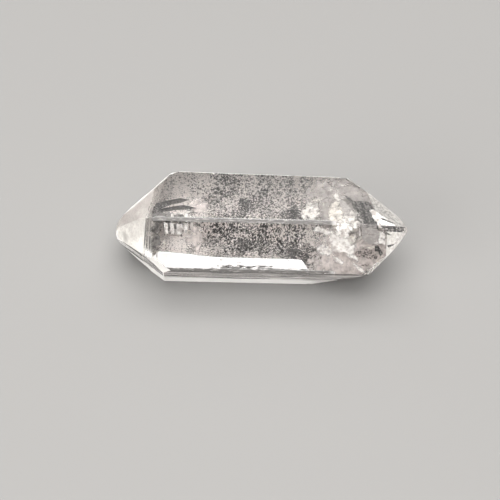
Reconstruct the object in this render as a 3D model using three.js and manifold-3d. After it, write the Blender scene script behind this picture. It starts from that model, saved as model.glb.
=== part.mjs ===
// A double-terminated quartz crystal ("herkimer diamond"), lying on one flat side.
// One natural piece: a six-sided prism whose long axis is +X, with a six-faced point at each end.
// Millimetres, +Z up. The crystal rests on z = 0 and its bounding box is centred on x = 0, y = 0.

import * as THREE from "three";
import { mergeVertices } from "three/addons/utils/BufferGeometryUtils.js";
import Module from "manifold-3d";

const wasm = await Module();
wasm.setup();

// ---------------------------------------------------------------- driving dimensions

const SIDE_HEIGHT = 11.06; // from the flat side it rests on to the flat side on top
const AXIS_HEIGHT = SIDE_HEIGHT / 2;
const AXIAL_RATIO = 1.1; // quartz: c over a, which sets the slope of every tip face
const TIP_SLOPE = THREE.MathUtils.radToDeg(Math.atan((AXIAL_RATIO * 2) / Math.sqrt(3)));
const SIDE_TURN = 60; // from one prism face to the next, about the long axis
const BLOCK = 80; // edge of the block that the faces are cut from, larger than the crystal
const WELD = 1e-5; // corners closer than this are one corner

// Each face is a plane. turn is its direction about the long axis, in degrees from straight up
// towards the front; lean is the angle between its outward normal and +X, so 90 is a true
// prism face; out is its distance from the middle of the crystal, in millimetres.
const PRISM_FACES = {
  top: { turn: 0, lean: 90, out: AXIS_HEIGHT },
  front_upper: { turn: SIDE_TURN, lean: 89.75, out: 6.47 },
  front_lower: { turn: 2 * SIDE_TURN, lean: 89.7, out: 6.37 },
  bottom: { turn: 3 * SIDE_TURN, lean: 90, out: AXIS_HEIGHT },
  back_lower: { turn: 4 * SIDE_TURN, lean: 88.4, out: 7.37 },
  back_upper: { turn: 5 * SIDE_TURN, lean: 89.3, out: 6.38 },
};

const LEFT_LEAN = 180 - TIP_SLOPE;
const LEFT_TIP_FACES = {
  left_top: { turn: -9, lean: 126, out: 11.15 },
  left_front_upper: { turn: SIDE_TURN, lean: LEFT_LEAN, out: 12.68 },
  left_front_lower: { turn: 2 * SIDE_TURN, lean: LEFT_LEAN, out: 11.83 },
  left_bottom: { turn: 3 * SIDE_TURN, lean: LEFT_LEAN, out: 12.31 },
  left_back_lower: { turn: 4 * SIDE_TURN, lean: LEFT_LEAN, out: 13.63 },
  left_back_upper: { turn: 5 * SIDE_TURN, lean: LEFT_LEAN, out: 11.41 },
  left_corner_strip: { turn: 102, lean: 115.4, out: 10.86 }, // narrow facet on the front corner
};

const RIGHT_TIP_FACES = {
  right_top: { turn: -9, lean: 61.8, out: 11.55 },
  right_front_upper: { turn: SIDE_TURN, lean: TIP_SLOPE, out: 15.07 },
  right_bottom: { turn: 3 * SIDE_TURN, lean: 52.8, out: 9.0 }, // large, it undercuts the side
  right_back_lower: { turn: 4 * SIDE_TURN, lean: TIP_SLOPE, out: 14.06 },
  right_back_upper: { turn: 5 * SIDE_TURN, lean: TIP_SLOPE, out: 12.02 },
  right_tip_strip: { turn: 5, lean: 56.2, out: 13.45 }, // narrow facet along the tip's upper edge
};

const FACES = { ...PRISM_FACES, ...LEFT_TIP_FACES, ...RIGHT_TIP_FACES };

// Both points are worn: rings of facets tangent to a small ball take the place of the sharp point.
const WORN_TIPS = [
  {
    centre: [-14.7, -0.25, 4.75],
    radius: 2.45,
    rings: [
      { lean: 176, count: 1 },
      { lean: 158, count: 5 },
      { lean: 141, count: 7 },
    ],
  },
  {
    centre: [18.22, -2.5, 8.6],
    radius: 0.75,
    rings: [
      { lean: 8, count: 1 },
      { lean: 34, count: 6 },
    ],
  },
];

// Edges and corners rubbed off flat, as planes through a point just inside the edge.
const WORN_EDGES = [
  { at: [-10.5, 4.0, 10.85], turn: -33, lean: 108 }, // top corner behind the left point
  { at: [-11.8, 2.9, 10.2], turn: -35, lean: 132.5 }, // back edge of the left point's top face
  { at: [16.3, -5.9, 7.1], turn: 133, lean: 43 }, // underside of the right point, in front
];

// Growth ledges on the prism faces: beyond a line across the face, towards the crystal's end
// (-1 left, +1 right), the face lies lower by drop. reach is the line's distance along the face,
// and skew turns the line in the face, in degrees away from square to the long axis.
const LEDGES = [
  { face: "top", end: -1, reach: -10.85, drop: 0.05, skew: -12 },
  { face: "top", end: -1, reach: -11.03, drop: 0.11, skew: -12 },
  { face: "top", end: 1, reach: 13.05, drop: 0.05, skew: 22 },
  { face: "top", end: 1, reach: 13.42, drop: 0.12, skew: 15 },
  { face: "front_upper", end: 1, reach: 15.45, drop: 0.08, skew: 0 },
  { face: "front_lower", end: 1, reach: 6.5, drop: 0.06, skew: -47.8 },
  { face: "back_upper", end: -1, reach: -9.6, drop: 0.1, skew: 3 },
  { face: "back_upper", end: 1, reach: 10.7, drop: 0.12, skew: -4 },
  { face: "back_lower", end: -1, reach: -11.3, drop: 0.12, skew: -3 },
  { face: "back_lower", end: 1, reach: 10.9, drop: 0.09, skew: 3 },
  { face: "back_lower", end: 1, reach: 11.7, drop: 0.2, skew: 6 },
];

// Growth terraces on the tip faces: shallow strips across the face, lowered by drop, between two
// positions along the crystal.
const TERRACES = [
  { face: "left_front_upper", from: -12.72, to: -12.4, drop: 0.05 },
  { face: "left_front_upper", from: -13.1, to: -12.8, drop: 0.06 },
  { face: "left_front_lower", from: -13.6, to: -12.9, drop: 0.05 },
  { face: "left_back_upper", from: -13.7, to: -12.3, drop: 0.09 },
  { face: "left_back_lower", from: -14.6, to: -13.6, drop: 0.09 },
  { face: "right_bottom", from: 10.6, to: 11.5, drop: 0.06 },
  { face: "right_bottom", from: 13.4, to: 14.9, drop: 0.09 },
  { face: "right_back_upper", from: 13.2, to: 14.3, drop: 0.08 },
  { face: "right_back_lower", from: 14.0, to: 15.1, drop: 0.08 },
];

// Nicks where an edge has chipped: a faceted ball that bites into the edge.
const NICKS = [
  { at: [-8.0, -4.45, 11.28], radius: 0.32 },
  { at: [3.1, -4.45, 11.26], radius: 0.28 },
  { at: [8.9, -7.6, 5.55], radius: 0.3 },
  { at: [-3.4, -7.66, 5.6], radius: 0.26 },
  { at: [16.45, -4.75, 10.45], radius: 0.3 },
  { at: [4.8, 4.3, 11.34], radius: 0.45 },
  { at: [-4.9, 4.3, 11.36], radius: 0.5 },
  { at: [-9.2, 8.3, 4.3], radius: 0.6 },
  { at: [1.9, 8.15, 4.45], radius: 0.55 },
  { at: [7.2, 8.0, 4.6], radius: 0.45 },
];

// Three-sided etch pits, scattered over part of a face: between two positions along the crystal,
// and to half either side of the middle of the face. size is the range of their widths.
const PIT_FIELDS = [
  { face: "back_lower", count: 70, size: [0.4, 1.1], depth: 0.11, from: -10.6, to: 10, half: 2.3 },
  { face: "back_upper", count: 24, size: [0.4, 0.9], depth: 0.09, from: -8.8, to: 9.8, half: 2.6 },
  { face: "bottom", count: 40, size: [0.4, 0.9], depth: 0.06, from: -9.5, to: 6.2, half: 3.4 },
  { face: "top", count: 12, size: [0.3, 0.6], depth: 0.04, from: -9, to: 10.5, half: 3.2 },
  { face: "right_bottom", count: 30, size: [0.4, 1.0], depth: 0.1, from: 8.6, to: 14.6, half: 2.7 },
];
const PIT_SEED = 7;

const CRYSTAL_COLOUR = 0xf4f1ee;
const CRYSTAL_OPACITY = 0.45;
const CRYSTAL_ROUGHNESS = 0.06;

// ---------------------------------------------------------------- planes and cutters

// The outward normal of a face with that turn and lean.
function normalOf({ turn, lean }) {
  const turned = THREE.MathUtils.degToRad(turn);
  const leant = THREE.MathUtils.degToRad(lean);
  return new THREE.Vector3(
    Math.cos(leant),
    -Math.sin(leant) * Math.sin(turned),
    Math.sin(leant) * Math.cos(turned),
  );
}

// The middle of the crystal, from which the faces' distances are measured.
const MIDDLE = new THREE.Vector3(0, 0, AXIS_HEIGHT);

// The face's own axes, for a cutter that lies on it: x runs across the face in the direction
// closest to the crystal's long axis, and z is the outward normal.
function frameOf(face, out, skew = 0) {
  const normal = normalOf(face);
  const along = new THREE.Vector3(1, 0, 0).addScaledVector(normal, -normal.x).normalize();
  along.applyAxisAngle(normal, THREE.MathUtils.degToRad(skew));
  const across = new THREE.Vector3().crossVectors(normal, along);
  const origin = MIDDLE.clone().addScaledVector(normal, out);
  return new THREE.Matrix4().makeBasis(along, across, normal).setPosition(origin);
}

// A closed geometry, placed by a matrix, as a manifold solid.
function solidOf(geometry, matrix) {
  const plain = geometry.clone();
  plain.deleteAttribute("normal");
  plain.deleteAttribute("uv");
  plain.applyMatrix4(matrix);
  const merged = mergeVertices(plain, WELD);
  return new wasm.Manifold(
    new wasm.Mesh({
      numProp: 3,
      vertProperties: merged.attributes.position.array,
      triVerts: new Uint32Array(merged.index.array),
    }),
  );
}

const blockGeometry = new THREE.BoxGeometry(BLOCK, BLOCK, BLOCK);

// All the material outside the plane at that distance along the face's normal.
function outsideOf(face, out) {
  const lifted = new THREE.Matrix4().makeTranslation(0, 0, BLOCK / 2);
  return solidOf(blockGeometry, frameOf(face, out).multiply(lifted));
}

// The distance of a plane that leans as the face does and passes through the point.
const outThrough = (face, point) => normalOf(face).dot(new THREE.Vector3(...point).sub(MIDDLE));

// ---------------------------------------------------------------- the crystal's features

function cutFaces(crystal) {
  for (const face of Object.values(FACES)) crystal = crystal.subtract(outsideOf(face, face.out));
  return crystal;
}

// Facets tangent to the ball, one ring for each lean.
function wearTip(crystal, { centre, radius, rings }) {
  for (const { lean, count } of rings) {
    for (let i = 0; i < count; i++) {
      const facet = { turn: (i * 360) / count, lean };
      crystal = crystal.subtract(outsideOf(facet, outThrough(facet, centre) + radius));
    }
  }
  return crystal;
}

function wearEdge(crystal, edge) {
  return crystal.subtract(outsideOf(edge, outThrough(edge, edge.at)));
}

// Everything above the lowered level, past the ledge's line.
function cutLedge(crystal, { face, end, reach, drop, skew }) {
  const plane = PRISM_FACES[face];
  const middle = frameOf(plane, plane.out - drop, skew);
  const placed = new THREE.Matrix4().makeTranslation(reach + (end * BLOCK) / 2, 0, BLOCK / 2);
  return crystal.subtract(solidOf(blockGeometry, middle.multiply(placed)));
}

// A strip of the tip face between two distances along the crystal, lowered by drop.
function cutTerrace(crystal, { face, from, to, drop }) {
  const plane = FACES[face];
  const normal = normalOf(plane);
  const slant = Math.hypot(normal.y, normal.z); // along the face, per millimetre along the crystal
  const length = (to - from) / slant;
  const start = (from - normal.x * plane.out) / slant;
  const strip = new THREE.BoxGeometry(length, BLOCK, 2 * drop);
  const placed = new THREE.Matrix4().makeTranslation(start + length / 2, 0, 0);
  return crystal.subtract(solidOf(strip, frameOf(plane, plane.out).multiply(placed)));
}

function cutNick(crystal, { at, radius }) {
  const ball = new THREE.IcosahedronGeometry(radius, 1);
  const tumbled = new THREE.Matrix4().makeRotationFromEuler(new THREE.Euler(at[0], at[1], at[2]));
  return crystal.subtract(solidOf(ball, tumbled.setPosition(...at)));
}

// A small repeatable random source, a linear congruential one: numbers from 0 to 1.
function randomFrom(seed) {
  const multiplier = 16807;
  const modulus = 2147483647;
  let state = seed;
  return () => {
    state = (state * multiplier) % modulus;
    return state / modulus;
  };
}

function cutPits(crystal, random, { face, count, size, depth, from, to, half }) {
  const plane = FACES[face];
  const normal = normalOf(plane);
  const slant = Math.hypot(normal.y, normal.z);
  for (let i = 0; i < count; i++) {
    const along = (from + (to - from) * random() - normal.x * plane.out) / slant;
    const across = half * (2 * random() - 1);
    const width = size[0] + (size[1] - size[0]) * random();
    const pit = new THREE.ConeGeometry(width, 2 * depth, 3); // half of it stands out of the face
    pit.rotateX(-Math.PI / 2); // its point goes into the face
    const placed = new THREE.Matrix4().makeTranslation(along, across, 0);
    crystal = crystal.subtract(solidOf(pit, frameOf(plane, plane.out).multiply(placed)));
  }
  return crystal;
}

function growCrystal() {
  let crystal = cutFaces(solidOf(blockGeometry, new THREE.Matrix4().setPosition(MIDDLE)));
  for (const tip of WORN_TIPS) crystal = wearTip(crystal, tip);
  for (const edge of WORN_EDGES) crystal = wearEdge(crystal, edge);
  for (const ledge of LEDGES) crystal = cutLedge(crystal, ledge);
  for (const terrace of TERRACES) crystal = cutTerrace(crystal, terrace);
  for (const nick of NICKS) crystal = cutNick(crystal, nick);
  const random = randomFrom(PIT_SEED);
  for (const field of PIT_FIELDS) crystal = cutPits(crystal, random, field);
  return crystal;
}

// ---------------------------------------------------------------- the part

function meshOf(solid, name, material) {
  const { vertProperties, triVerts } = solid.getMesh();
  const geometry = new THREE.BufferGeometry();
  geometry.setAttribute("position", new THREE.BufferAttribute(vertProperties, 3));
  geometry.setIndex(new THREE.BufferAttribute(triVerts, 1));
  const mesh = new THREE.Mesh(geometry, material);
  mesh.name = name;
  return mesh;
}

const quartz = new THREE.MeshStandardMaterial({
  color: CRYSTAL_COLOUR,
  roughness: CRYSTAL_ROUGHNESS,
  metalness: 0,
  transparent: true,
  opacity: CRYSTAL_OPACITY,
  flatShading: true,
});

const crystal = meshOf(growCrystal(), "crystal", quartz);
const box = new THREE.Box3().setFromObject(crystal);
const centre = box.getCenter(new THREE.Vector3());
crystal.position.set(-centre.x, -centre.y, -box.min.z);

const herkimerDiamond = new THREE.Group();
herkimerDiamond.add(crystal);

export default herkimerDiamond;
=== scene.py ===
"""Herkimer diamond: a clear, double-terminated quartz crystal with etched faces and healed cracks.

Lengths are millimetres in the part's own frame, and turn into metres in piece(). The lights and the
floor are sized in metres.
"""

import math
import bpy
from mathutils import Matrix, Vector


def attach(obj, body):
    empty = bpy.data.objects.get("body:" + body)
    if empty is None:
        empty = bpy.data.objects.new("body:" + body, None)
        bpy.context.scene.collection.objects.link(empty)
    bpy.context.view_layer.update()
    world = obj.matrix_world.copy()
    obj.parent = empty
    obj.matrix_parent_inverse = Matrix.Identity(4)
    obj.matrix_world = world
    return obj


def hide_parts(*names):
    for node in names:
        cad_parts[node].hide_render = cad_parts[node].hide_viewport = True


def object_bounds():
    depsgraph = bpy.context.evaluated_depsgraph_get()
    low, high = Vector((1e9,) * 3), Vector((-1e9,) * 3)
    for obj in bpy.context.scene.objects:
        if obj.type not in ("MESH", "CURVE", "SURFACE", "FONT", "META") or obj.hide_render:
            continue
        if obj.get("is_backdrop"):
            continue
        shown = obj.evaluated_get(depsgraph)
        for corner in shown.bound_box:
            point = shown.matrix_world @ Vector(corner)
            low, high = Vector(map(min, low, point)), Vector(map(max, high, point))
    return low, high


bl_info = {
    "name": "Herkimer Diamond",
    "version": (1, 0, 0),
    "blender": (4, 5, 0),
    "location": "3D View > Sidebar > Quartz",
    "description": "Grows a clear double-terminated quartz crystal with etched faces and healed cracks",
    "category": "Object",
}

import bmesh
import bpy
from bpy.props import FloatProperty, IntProperty, PointerProperty
from mathutils import Matrix, Vector, noise

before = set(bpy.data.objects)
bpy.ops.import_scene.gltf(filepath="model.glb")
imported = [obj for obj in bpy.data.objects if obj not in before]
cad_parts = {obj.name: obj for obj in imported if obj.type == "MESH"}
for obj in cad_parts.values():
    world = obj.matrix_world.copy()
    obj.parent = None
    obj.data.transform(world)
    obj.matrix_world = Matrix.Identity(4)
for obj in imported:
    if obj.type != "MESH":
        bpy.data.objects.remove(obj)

MM = 0.001
QUARTZ_IOR = 1.544
MIDDLE = Vector((-0.892, -0.35, 5.53))  # the point on the long axis that the faces are measured from
TIP_SLOPE = math.degrees(math.atan(1.1 * 2 / math.sqrt(3)))  # quartz: c/a = 1.1

# Each face: turn about the long axis from straight up towards the front, lean of its outward
# normal from +X, both in degrees, and its distance from the middle.
FACES = {
    "top": (0, 90, 5.53),
    "front_upper": (60, 89.75, 6.47),
    "front_lower": (120, 89.7, 6.37),
    "bottom": (180, 90, 5.53),
    "back_lower": (240, 88.4, 7.37),
    "back_upper": (300, 89.3, 6.38),
    "left_top": (-9, 126, 11.15),
    "left_front_upper": (60, 180 - TIP_SLOPE, 12.68),
    "left_front_lower": (120, 180 - TIP_SLOPE, 11.83),
    "left_bottom": (180, 180 - TIP_SLOPE, 12.31),
    "left_back_lower": (240, 180 - TIP_SLOPE, 13.63),
    "left_back_upper": (300, 180 - TIP_SLOPE, 11.41),
    "left_corner_strip": (102, 115.4, 10.86),
    "right_top": (-9, 61.8, 11.55),
    "right_front_upper": (60, TIP_SLOPE, 15.07),
    "right_bottom": (180, 52.8, 9.0),
    "right_back_lower": (240, TIP_SLOPE, 14.06),
    "right_back_upper": (300, TIP_SLOPE, 12.02),
    "right_tip_strip": (5, 56.2, 13.45),
}

# Worn points: facets that touch a ball inside the point, as rings of (lean, number of facets).
WORN_POINTS = (
    ((-15.592, -0.6, 4.75), 2.45, ((176, 1), (158, 5), (141, 7))),
    ((17.328, -2.85, 8.6), 0.75, ((8, 1), (34, 6))),
)
# Worn edges: a facet through a place, with its turn and lean.
WORN_EDGES = (
    ((-11.392, 3.65, 10.85), -33, 108),
    ((-12.692, 2.55, 10.2), -35, 132.5),
    ((15.408, -6.25, 7.1), 133, 43),
)

# Growth ledges: beyond reach along the crystal, towards end, a prism face drops by one more layer.
# skew turns the ledge within the face.
LEDGES = (
    ("top", -1, -10.85, 0.05, -12),
    ("top", -1, -11.03, 0.11, -12),
    ("top", 1, 13.05, 0.05, 22),
    ("top", 1, 13.42, 0.12, 15),
    ("front_upper", 1, 15.45, 0.08, 0),
    ("front_lower", 1, 6.5, 0.06, -47.8),
    ("back_upper", -1, -9.6, 0.1, 3),
    ("back_upper", 1, 10.7, 0.12, -4),
    ("back_lower", -1, -11.3, 0.12, -3),
    ("back_lower", 1, 10.9, 0.09, 3),
    ("back_lower", 1, 11.7, 0.2, 6),
)
# Growth terraces: shallow strips across a point's face, between two positions along the crystal.
TERRACES = (
    ("left_front_upper", -12.72, -12.4, 0.05),
    ("left_front_upper", -13.1, -12.8, 0.06),
    ("left_front_lower", -13.6, -12.9, 0.05),
    ("left_back_upper", -13.7, -12.3, 0.09),
    ("left_back_lower", -14.6, -13.6, 0.09),
    ("right_bottom", 10.6, 11.5, 0.06),
    ("right_bottom", 13.4, 14.9, 0.09),
    ("right_back_upper", 13.2, 14.3, 0.08),
    ("right_back_lower", 14.0, 15.1, 0.08),
)
# Chips in the edges: place, radius.
CHIPS = (
    ((-8.892, -4.8, 11.28), 0.32),
    ((2.208, -4.8, 11.26), 0.28),
    ((8.008, -7.95, 5.55), 0.3),
    ((-4.292, -8.01, 5.6), 0.26),
    ((15.558, -5.1, 10.45), 0.3),
    ((3.908, 3.95, 11.34), 0.45),
    ((-5.792, 3.95, 11.36), 0.5),
    ((-10.092, 7.95, 4.3), 0.6),
    ((1.008, 7.8, 4.45), 0.55),
    ((6.308, 7.65, 4.6), 0.45),
)
# Edges rubbed white: the two faces that share the edge, and how much wider than the edge wear.
RUBBED_EDGES = (
    ("front_lower", "bottom", 1.2),
    ("front_lower", "left_front_lower", 1),
    ("left_front_lower", "left_bottom", 1.5),
    ("left_front_lower", "left_front_upper", 1),
    ("left_front_lower", "left_corner_strip", 1),
    ("top", "back_upper", 1),
    ("left_top", "left_back_upper", 1.2),
    ("right_top", "right_back_upper", 3),
    ("top", "right_back_upper", 2),
    ("right_front_upper", "right_bottom", 3),
    ("front_upper", "right_bottom", 4),
    ("front_lower", "right_bottom", 1.2),
    ("right_tip_strip", "right_bottom", 2),
)
RUBBED = {frozenset((face, other)): times for face, other, times in RUBBED_EDGES}
BLOCK = 40.0  # a block larger than the crystal
SHORT_EDGE = 0.5  # edges shorter than this aren't rubbed
WORN_ANGLE = 3  # a facet further off its face than this, in degrees, is a worn edge

CLEAR = (1, 0.99, 0.985, 1)
WHITE = (1, 0.985, 0.965, 1)
CREAM = (0.77, 0.75, 0.705, 1)
PINKISH = (0.66, 0.60, 0.58, 1)
GREYISH = (0.62, 0.605, 0.57, 1)
MOTTLE = (0.50, 0.465, 0.445, 1)
# near-black: painted shade in the pits of the clear faces, and the colour of the dark threads on the points
NEAR_BLACK = (0.03, 0.028, 0.027, 1)

# The finish of each face of the crystal.
FINISH = {
    "top": "clear_top",
    "front_upper": "clear_front",
    "front_lower": "lined_front",
    "bottom": "etched_base",
    "back_lower": "etched_back",
    "back_upper": "clear_quartz",
    "left_top": "frosted_left",
    "left_front_upper": "frosted_left_front",
    "left_front_lower": "lined_left_front",
    "left_bottom": "frosted_left_low",
    "left_back_lower": "frosted_left_low",
    "left_back_upper": "clear_quartz",
    "left_corner_strip": "worn_edge",
    "right_top": "pale_point",
    "right_front_upper": "frosted_right_front",
    "right_bottom": "etched_shoulder",
    "right_back_lower": "frosted_right",
    "right_back_upper": "frosted_right",
    "right_tip_strip": "etched_tip_strip",
}

# Zones of a face, seen from above: x, y, half length, half width, amount. Dark zones are deeply
# etched, with more pits painted dark as painted shade, and pale zones are frosted.
BACK_DARK = (
    (-4.6, 6.8, 2.2, 3.0, 0.06),
    (-0.6, 6.8, 2.6, 3.0, 0.035),
    (3.4, 6.8, 2.0, 3.0, 0.04),
)
BACK_PALE = (
    (-8.4, 6.2, 2.6, 1.6, 0.10),
    (7.2, 6.6, 2.6, 2.6, 0.13),
    (-11.2, 6.2, 2.0, 2.6, 0.13),
)
BASE_DARK = (
    (-4.4, 3.6, 2.4, 2.6, 0.06),
    (0.8, 3.6, 3.4, 2.2, 0.09),
    (5.6, 2.4, 1.6, 2.4, 0.13),
    (-13.2, 3.6, 1.6, 2.2, 0.06),
)
BASE_PALE = (
    (-11.4, 3.4, 1.8, 2.2, 0.15),
    (-8.0, 3.4, 1.6, 2.2, 0.02),
    (-11.0, 2.6, 1.6, 1.0, 0.06),
)
BASE_STREAKS = (
    (-1.8, -0.45, 3.0, 0.35, 0.17),
    (3.8, -0.75, 2.4, 0.25, 0.13),
    (-5.8, -0.95, 4.0, 0.2, 0.11),
)
FRONT_PITS = (
    (-1.2, -6.0, 3.4, 0.5, 0.21),
    (3.6, -6.2, 1.4, 0.5, 0.20),
    (-2.4, -4.95, 1.8, 0.25, 0.19),
    (4.8, -5.2, 0.7, 0.5, 0.20),
)
SHOULDER_DARK = (
    (12.6, 2.2, 1.6, 2.0, 0.12),
    (12.8, -2.4, 2.0, 0.8, 0.10),
    (7.2, 2.2, 1.0, 1.8, 0.20),
)
SHOULDER_PALE = (
    (9.6, 1.6, 2.0, 3.0, 0.10),
    (11.0, -3.2, 2.4, 1.6, 0.16),
    (14.8, -1.0, 1.2, 4.0, 0.12),
)
TIP_STRIP_DARK = (
    (16.2, -3.8, 1.4, 3.0, 0.2),
)


# ---- faces ----


def face_normal(turn, lean):
    """The outward normal of a face, from its turn and lean in degrees."""
    turn, lean = math.radians(turn), math.radians(lean)
    across = math.sin(lean)
    return Vector((math.cos(lean), -across * math.sin(turn), across * math.cos(turn)))


NORMALS = {name: face_normal(turn, lean) for name, (turn, lean, out) in FACES.items()}


def nearest_faces(normal):
    """The names of the two faces that a normal comes closest to."""
    return sorted(NORMALS, key=lambda name: -NORMALS[name].dot(normal))[:2]


def face_frame(name, drop=0.0, skew=0.0):
    """A face's own axes (along the crystal, across, outward) with their origin drop below its middle."""
    n, out = NORMALS[name], FACES[name][2]
    along = Vector((1, 0, 0)) - n * n.x
    along.normalize()
    along.rotate(Matrix.Rotation(math.radians(skew), 3, n))
    m = Matrix((along, n.cross(along), n)).transposed().to_4x4()
    m.translation = MIDDLE + n * (out - drop)
    return m


def from_edge(face, neighbour):
    """A direction in a face, away from the edge shared with its neighbour, and the edge's place along it."""
    n, m = NORMALS[face], NORMALS[neighbour]
    away = (n * n.dot(m) - m).normalized()
    # a point on both planes, in the plane spanned by their normals
    a, b, c = FACES[face][2], FACES[neighbour][2], n.dot(m)
    shared = MIDDLE + n * ((a - b * c) / (1 - c * c)) + m * ((b - a * c) / (1 - c * c))
    return away, away.dot(shared)


def slice_off(bm, n, point):
    """Keeps what lies behind the plane and closes the cut."""
    geom = bm.verts[:] + bm.edges[:] + bm.faces[:]
    cut = bmesh.ops.bisect_plane(bm, geom=geom, dist=1e-5, plane_co=point, plane_no=n, clear_outer=True)
    edges = [g for g in cut["geom_cut"] if isinstance(g, bmesh.types.BMEdge)]
    if edges:
        bmesh.ops.edgeloop_fill(bm, edges=edges)


def sharp_crystal():
    """A block sliced to the crystal's faces, then to the facets of its worn points and edges."""
    bm = bmesh.new()
    bmesh.ops.create_cube(bm, size=2 * BLOCK)
    bmesh.ops.translate(bm, verts=bm.verts, vec=MIDDLE)
    for name, n in NORMALS.items():
        slice_off(bm, n, MIDDLE + n * FACES[name][2])
    for centre, radius, rings in WORN_POINTS:
        for lean, count in rings:
            for i in range(count):
                n = face_normal(360 * i / count, lean)
                slice_off(bm, n, Vector(centre) + n * radius)
    for at, turn, lean in WORN_EDGES:
        slice_off(bm, face_normal(turn, lean), Vector(at))
    bmesh.ops.recalc_face_normals(bm, faces=bm.faces)
    return bm


def rub_edges(bm, width):
    """Cuts a narrow facet along each rubbed edge, square to the middle of its two faces."""
    for pair, times in RUBBED.items():
        for e in bm.edges:
            names = frozenset(nearest_faces(f.normal)[0] for f in e.link_faces)
            if names != pair or e.calc_length() < SHORT_EDGE:
                continue
            n = sum((f.normal for f in e.link_faces), Vector()).normalized()
            half = e.calc_face_angle() / 2
            slice_off(bm, n, e.verts[0].co - n * width * times / math.tan(math.pi / 2 - half))
            break
    bmesh.ops.recalc_face_normals(bm, faces=bm.faces)


def cutters():
    """The blocks and faceted balls that take the ledges, terraces and chips out of the crystal."""
    bm = bmesh.new()
    half = Matrix.Translation((0, 0, BLOCK / 2))
    for name, end, reach, drop, skew in LEDGES:
        m = face_frame(name, drop, skew) @ Matrix.Translation((reach + end * BLOCK / 2, 0, 0)) @ half
        bmesh.ops.create_cube(bm, size=BLOCK, matrix=m)
    for name, start, stop, drop in TERRACES:
        n, out = NORMALS[name], FACES[name][2]
        slant = math.hypot(n.y, n.z)  # along the face, for each millimetre along the crystal
        mid = ((start + stop) / 2 - n.x * out) / slant
        m = face_frame(name) @ Matrix.Translation((mid, 0, 0))
        m = m @ Matrix.Diagonal(((stop - start) / slant, BLOCK, 2 * drop, 1))
        bmesh.ops.create_cube(bm, size=1, matrix=m)
    for at, radius in CHIPS:
        # each chip is turned by its own place, so that no two look alike
        m = Matrix.Translation(at) @ Matrix.Rotation(at[0], 4, "X") @ Matrix.Rotation(at[1], 4, "Y")
        bmesh.ops.create_icosphere(bm, subdivisions=2, radius=radius, matrix=m)
    return bm


# ---- pieces ----


def piece(name, bm, materials, stands_for=None):
    """Turns millimetres into metres and hands the mesh over as a piece that rides the crystal."""
    bmesh.ops.scale(bm, vec=(MM, MM, MM), verts=bm.verts)
    mesh = bpy.data.meshes.new(name)
    bm.to_mesh(mesh)
    bm.free()
    o = bpy.data.objects.new(name, mesh)
    bpy.context.scene.collection.objects.link(o)
    for m in materials:
        mesh.materials.append(m)
    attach(o, "root")
    if stands_for:
        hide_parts(stands_for)


def difference(body, tool):
    """body less tool, as a bmesh, by Blender's exact boolean."""
    objects = []
    for bm in (body, tool):
        mesh = bpy.data.meshes.new("cut")
        bm.to_mesh(mesh)
        bm.free()
        o = bpy.data.objects.new("cut", mesh)
        bpy.context.scene.collection.objects.link(o)
        objects.append(o)
    cut = objects[0].modifiers.new("cut", "BOOLEAN")
    cut.operation, cut.solver = "DIFFERENCE", "EXACT"
    cut.object, cut.use_self = objects[1], True
    bpy.context.view_layer.update()
    graph = bpy.context.evaluated_depsgraph_get()
    result = bmesh.new()
    result.from_object(objects[0], graph)
    for o in objects:
        bpy.data.objects.remove(o)
    return result


# ---- materials ----


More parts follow.
